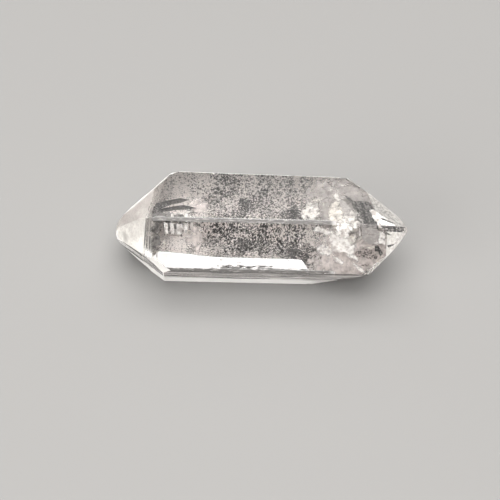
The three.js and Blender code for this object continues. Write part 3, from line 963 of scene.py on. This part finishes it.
class QUARTZ_OT_veils(bpy.types.Operator):
    """Heal the cracks: thin, ragged veils of milky flakes under the top and front faces"""

    bl_idname = "quartz.veils"
    bl_label = "Heal Cracks"

    def execute(self, context):
        s = context.scene.quartz
        bm = bmesh.new()
        layer = bm.verts.layers.float.new("fullness")
        materials = [
            milky_veil("white_veil", (0.52, 0.48, 0.46, 1), (0.97, 0.96, 0.94, 1), 0.97, 1.5),
            milky_veil("pale_veil", (0.36, 0.335, 0.32, 1), (0.86, 0.84, 0.81, 1), 0.97, 1.5),
            milky_veil("cream_veil", (0.48, 0.45, 0.42, 1), (0.84, 0.81, 0.75, 1), 0.95, 1.1),
            milky_veil("grey_haze", (0.30, 0.279, 0.270, 1), (0.42, 0.392, 0.377, 1), 0.86, 0.35),
            milky_veil("smoky_haze", (0.03, 0.028, 0.027, 1), (0.24, 0.228, 0.22, 1), 0.95, 0.35),
            milky_veil("pink_haze", (0.54, 0.49, 0.47, 1), (0.80, 0.735, 0.71, 1), 0.86, 0.35),
        ]
        index = {m.name: i for i, m in enumerate(materials)}
        for face, kind, veils in VEILS:
            haze = kind.endswith("haze")
            tilt = 0 if haze or face == "top" else math.radians(-FRONT_TILT)
            step = s.veil_grain / MM * (HAZE_STEP if haze else 1)
            for depth, x, y, half_u, half_v, turn, fill in veils:
                place = face_frame(face, depth) @ Matrix.Translation((x, y, 0))
                place = place @ Matrix.Rotation(tilt, 4, "X") @ Matrix.Rotation(math.radians(turn), 4, "Z")
                shift = Vector((3.1 * x, 1.7 * y, s.seed))  # gives each veil a ragged rim of its own
                for f in self.veil(bm, layer, place, half_u, half_v, fill, step, shift):
                    f.material_index = index[kind]
        if not bm.faces:
            raise RuntimeError("no veil was made")
        lone = [v for v in bm.verts if not v.link_faces]
        bmesh.ops.delete(bm, geom=lone, context="VERTS")
        piece("healed_cracks", bm, materials)
        return {"FINISHED"}

    def veil(self, bm, layer, place, half_u, half_v, fill, step, shift):
        """One wavy, ragged veil: a grid of flakes, left out where the veil is thin. Hands back its faces."""
        columns, rows = max(3, round(2 * half_u / step)), max(3, round(2 * half_v / step))
        calm = min(1.0, 2 * min(half_u, half_v))
        across = 2 * VEIL_REACH
        corners = {}
        for i in range(columns + 1):
            for j in range(rows + 1):
                u, v = across * i / columns - VEIL_REACH, across * j / rows - VEIL_REACH
                p = Vector((u * half_u, v * half_v, 0))
                cloud = noise.fractal(p * 1.3 + shift, 0.7, 2.1, 5)
                fullness = fill + 0.7 * cloud - 0.7 * (u * u + v * v)
                wave = 0.2 * calm * noise.noise(p * 0.8 + shift) + 0.05 * noise.noise(p * 3 - shift)
                point = place @ Vector((p.x, p.y, wave))
                if fullness > VEIL_THINNEST and inside(point, VEIL_MARGIN):
                    corners[i, j] = bm.verts.new(point)
                    corners[i, j][layer] = fullness
        rings = (
            [corners.get(key) for key in ((i, j), (i + 1, j), (i + 1, j + 1), (i, j + 1))]
            for i, j in corners)
        return [bm.faces.new(ring) for ring in rings if all(ring)]


# Open cracks: the face each lies under, how far under it, its kind, and its outline in the face's own axes.
# A depth below 0 is a flake on the face.
PLATES = (
    ("top", 0.30, "dark_crack", (
        (-12.6, -1.75), (-11.8, -1.5), (-10.8, -1.25), (-10.05, -1.3), (-10.9, -1.85), (-11.5, -2.3),
        (-10.6, -2.35), (-11.35, -2.8), (-12.45, -3.05))),
    ("top", 0.60, "dark_crack", (
        (12.0, 0.05), (12.3, 0.3), (14.25, 0.15), (14.7, -0.85), (14.7, -1.7), (14.95, -2.15), (14.85, -2.7),
        (15.4, -3.4), (15.15, -3.95), (13.35, -4.0), (13.25, -3.2), (12.8, -2.2), (12.7, -1.5),
        (12.3, -1.1))),
    ("top", 0.55, "dark_crack", ((11.2, 1.0), (11.5, 1.1), (12.3, 0.2), (12.2, -0.1), (11.65, 0.35))),
    ("top", 0.45, "grey_crack", (
        (10.65, 0.25), (11.25, 0.05), (11.85, -0.9), (12.2, -1.65), (11.8, -2.35), (11.35, -2.6),
        (10.9, -2.1), (10.75, -1.1))),
    ("top", 0.40, "dark_crack", (
        (12.7, -2.05), (12.85, -2.0), (12.85, -2.95), (13.35, -3.5), (13.25, -3.8), (12.65, -3.1))),
    ("front_upper", 0.60, "grey_crack", (
        (13.2, 2.45), (14.95, 2.45), (15.4, 1.6), (15.45, 0.45), (14.25, 0.2), (13.3, 0.9))),
    ("front_upper", 0.50, "pink_crack", (
        (12.45, -0.8), (13.45, -0.35), (14.45, -0.5), (15.35, -1.25), (15.25, -1.75), (14.0, -1.6),
        (12.65, -1.35))),
    ("front_upper", 0.45, "pink_crack", ((13.2, -2.6), (13.8, -2.2), (14.35, -2.4), (14.15, -2.6))),
    ("front_upper", 0.40, "dark_crack", (
        (14.9, 0.1), (15.3, 0.15), (15.65, -0.4), (15.95, -0.9), (15.6, -1.3), (15.35, -0.7),
        (14.95, -0.6))),
    ("front_upper", 0.50, "grey_crack", ((11.9, 0.25), (12.4, 0.35), (12.5, -0.15), (12.0, -0.3))),
    ("right_top", -0.01, "dark_crack", (
        (11.4, -3.35), (12.0, -3.1), (13.3, -3.1), (13.2, -3.35), (11.85, -3.55), (11.4, -3.55))),
    ("right_tip_strip", -0.01, "dark_crack", (
        (9.5, -3.8), (10.5, -3.25), (12.05, -2.6), (12.05, -3.05), (11.0, -3.45), (10.1, -3.7))),
    ("right_front_upper", -0.01, "dark_crack", (
        (8.05, 2.2), (8.85, 1.85), (9.7, 1.45), (9.65, 1.35), (8.75, 1.75))),
    ("right_front_upper", -0.01, "dark_crack", (
        (9.05, 0.15), (9.8, 0.25), (10.3, 0.2), (10.15, 0.05), (9.25, -0.1))),
)
PLATE_THICKNESS = 0.01
PLATE_STEP = 0.1  # the outline is broken up at steps of this length
PLATE_JAG = 0.1  # and by at most this much
PLATE_GRAIN = 4  # how many jags there are to a millimetre
PLATE_OVERHANG = 0.03  # a plate reaches this far past the faces at most


class QUARTZ_OT_cracks(bpy.types.Operator):
    """Open the rough cracks near the two points, and draw the dark flakes on the right point"""

    bl_idname = "quartz.cracks"
    bl_label = "Open Cracks"

    def execute(self, context):
        bm = bmesh.new()
        materials = [
            rough_crack("dark_crack", (0.004, 0.0037, 0.0035, 1), (0.34, 0.323, 0.312, 1),
                        hatch=0.35, coarse=4.6),
            rough_crack("grey_crack", (0.36, 0.342, 0.333, 1), (0.60, 0.572, 0.56, 1)),
            rough_crack("pink_crack", (0.02, 0.018, 0.017, 1), (0.66, 0.585, 0.56, 1),
                        coarse=5.5, dark_below=0.47),
        ]
        index = {m.name: i for i, m in enumerate(materials)}
        for i, (face, depth, kind, outline) in enumerate(PLATES):
            m = face_frame(face, depth)
            ring = [p for p in self.jagged(outline, i) if inside(m @ p, -PLATE_OVERHANG)]
            if len(ring) < 3:
                raise RuntimeError("a crack lies outside the crystal")
            for f in self.plate(bm, m, ring):
                f.material_index = index[kind]
        bmesh.ops.recalc_face_normals(bm, faces=bm.faces)
        piece("open_cracks", bm, materials)
        return {"FINISHED"}

    def jagged(self, outline, seed):
        """The outline in short steps, each moved a little aside."""
        for (x, y), (x2, y2) in zip(outline, outline[1:] + outline[:1]):
            count = max(2, round(math.hypot(x2 - x, y2 - y) / PLATE_STEP))
            for k in range(count):
                a, b = x + (x2 - x) * k / count, y + (y2 - y) * k / count
                jag_x = PLATE_JAG * noise.noise(Vector((a * PLATE_GRAIN, b * PLATE_GRAIN, seed + 0.5)))
                jag_y = PLATE_JAG * noise.noise(Vector((b * PLATE_GRAIN, a * PLATE_GRAIN, seed + 0.5)))
                yield Vector((a + jag_x, b + jag_y, 0))

    def plate(self, bm, m, ring):
        """A thin closed plate with the ring as its outline."""
        low = [bm.verts.new(m @ (p - Vector((0, 0, PLATE_THICKNESS)))) for p in ring]
        high = [bm.verts.new(m @ p) for p in ring]
        faces = [bm.faces.new(high), bm.faces.new(low[::-1])]
        for k in range(len(ring)):
            j = (k + 1) % len(ring)
            faces.append(bm.faces.new((low[k], low[j], high[j], high[k])))
        return faces


# ---- stage ----

# Soft lights: azimuth from behind the crystal and elevation in degrees, distance, width and height in
# metres, and power in watts.
SOFT_LIGHTS = {
    "softbox_behind": (10, 50, 0.6, 1.0, 0.5, 2.0),
    "softbox_above": (0, 84, 0.7, 0.8, 0.8, 8.4),
    "softbox_front": (180, 62, 0.7, 0.6, 0.5, 5.3),
    "softbox_side": (-135, 24, 0.7, 0.5, 0.4, 3.8),
}
LIGHT_TINT = (1, 0.985, 0.965)
FLOOR_HALF = 1.5  # in metres
FLOOR_DROP = 0.03  # the floor lies this far under the crystal, which keeps the two faces apart
CAMERA_AIM = Vector((-1.198, -4.411, 6.0))
CAMERA_DISTANCE = 220.0
CAMERA_PITCH, CAMERA_ROLL, CAMERA_TURN = 47.0, 1.355, 0.231
PIXEL = 0.1237  # one picture element at the crystal
PICTURE = 500  # width of the picture, in picture elements
SENSOR = 36  # width of the camera's sensor
CLIP_START = 0.01  # in metres
DIM = (0.03, 0.03, 0.03, 1)  # the light that comes from all round
BOUNCES = 32  # light crosses the crystal many times


class QUARTZ_OT_stage(bpy.types.Operator):
    """Set the floor, the soft lights and the camera"""

    bl_idname = "quartz.stage"
    bl_label = "Set Stage"

    def execute(self, context):
        scene = context.scene
        self.floor(scene, scene.quartz.floor_tone)
        world = bpy.data.worlds.new("studio")
        scene.world = world
        world.use_nodes = True
        world.node_tree.nodes["Background"].inputs["Color"].default_value = DIM
        for name, (azimuth, elevation, distance, width, height, power) in SOFT_LIGHTS.items():
            a, e = math.radians(azimuth), math.radians(elevation)
            towards = Vector((math.sin(a) * math.cos(e), math.cos(a) * math.cos(e), math.sin(e)))
            light = bpy.data.lights.new(name, "AREA")
            light.shape, light.size, light.size_y, light.energy = "RECTANGLE", width, height, power
            light.color = LIGHT_TINT
            o = bpy.data.objects.new(name, light)
            scene.collection.objects.link(o)
            o.location = towards * distance
            o.rotation_euler = (-towards).to_track_quat("-Z", "Y").to_euler()
        self.camera(scene)
        scene.view_settings.view_transform = "Standard"
        scene.cycles.max_bounces = BOUNCES
        scene.cycles.transmission_bounces = BOUNCES
        scene.cycles.transparent_max_bounces = BOUNCES
        scene.cycles.glossy_bounces = BOUNCES // 2
        scene.cycles.blur_glossy = 0
        return {"FINISHED"}

    def floor(self, scene, tone):
        half = FLOOR_HALF
        mesh = bpy.data.meshes.new("floor")
        square = [(-half, -half, 0), (half, -half, 0), (half, half, 0), (-half, half, 0)]
        mesh.from_pydata(square, [], [(0, 1, 2, 3)])
        floor = bpy.data.objects.new("floor", mesh)
        scene.collection.objects.link(floor)
        floor.location.z = -FLOOR_DROP * MM
        material = bpy.data.materials.new("pale_floor")
        material.use_nodes = True
        shader = material.node_tree.nodes["Principled BSDF"]
        shader.inputs["Base Color"].default_value = (tone, tone * 0.99, tone * 0.975, 1)
        shader.inputs["Roughness"].default_value = 0.9
        shader.inputs["Specular IOR Level"].default_value = 0.2
        mesh.materials.append(material)
        floor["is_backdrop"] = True

    def camera(self, scene):
        pitch, roll, turn = (math.radians(a) for a in (CAMERA_PITCH, CAMERA_ROLL, CAMERA_TURN))
        back = Vector((0, -math.cos(pitch), math.sin(pitch)))
        right = Vector((1, 0, 0))
        axes = Matrix.Rotation(turn, 3, "Z") @ Matrix((right, back.cross(right), back)).transposed()
        place = (axes @ Matrix.Rotation(roll, 3, "Z")).to_4x4()
        place.translation = (CAMERA_AIM + axes @ Vector((0, 0, CAMERA_DISTANCE))) * MM
        data = bpy.data.cameras.new("camera")
        data.sensor_width = SENSOR
        data.lens = SENSOR * CAMERA_DISTANCE / (PIXEL * PICTURE)
        data.clip_start = CLIP_START
        camera = bpy.data.objects.new("camera", data)
        scene.collection.objects.link(camera)
        camera.matrix_world = place
        scene.camera = camera


class QUARTZ_PT_panel(bpy.types.Panel):
    bl_label = "Herkimer Diamond"
    bl_idname = "QUARTZ_PT_panel"
    bl_space_type = "VIEW_3D"
    bl_region_type = "UI"
    bl_category = "Quartz"

    def draw(self, context):
        column = self.layout.column()
        for name in QUARTZ_PG_settings.__annotations__:
            column.prop(context.scene.quartz, name)
        for operator in OPERATORS:
            column.operator(operator.bl_idname)


OPERATORS = (QUARTZ_OT_crystal, QUARTZ_OT_slits, QUARTZ_OT_veils, QUARTZ_OT_cracks, QUARTZ_OT_stage)
CLASSES = (QUARTZ_PG_settings, *OPERATORS, QUARTZ_PT_panel)


def register():
    for c in CLASSES:
        bpy.utils.register_class(c)
    bpy.types.Scene.quartz = PointerProperty(type=QUARTZ_PG_settings)


def unregister():
    del bpy.types.Scene.quartz
    for c in reversed(CLASSES):
        bpy.utils.unregister_class(c)


def corners():
    """The part's bounds as plain lists."""
    return [list(v) if hasattr(v, "__len__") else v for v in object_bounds()]


def main():
    loaded = corners()
    register()
    bpy.ops.quartz.crystal()
    bpy.ops.quartz.slits()
    bpy.ops.quartz.veils()
    bpy.ops.quartz.cracks()
    bpy.ops.quartz.stage()
    {"loaded": loaded, "finished": corners()}


if __name__ == "__main__":
    main()
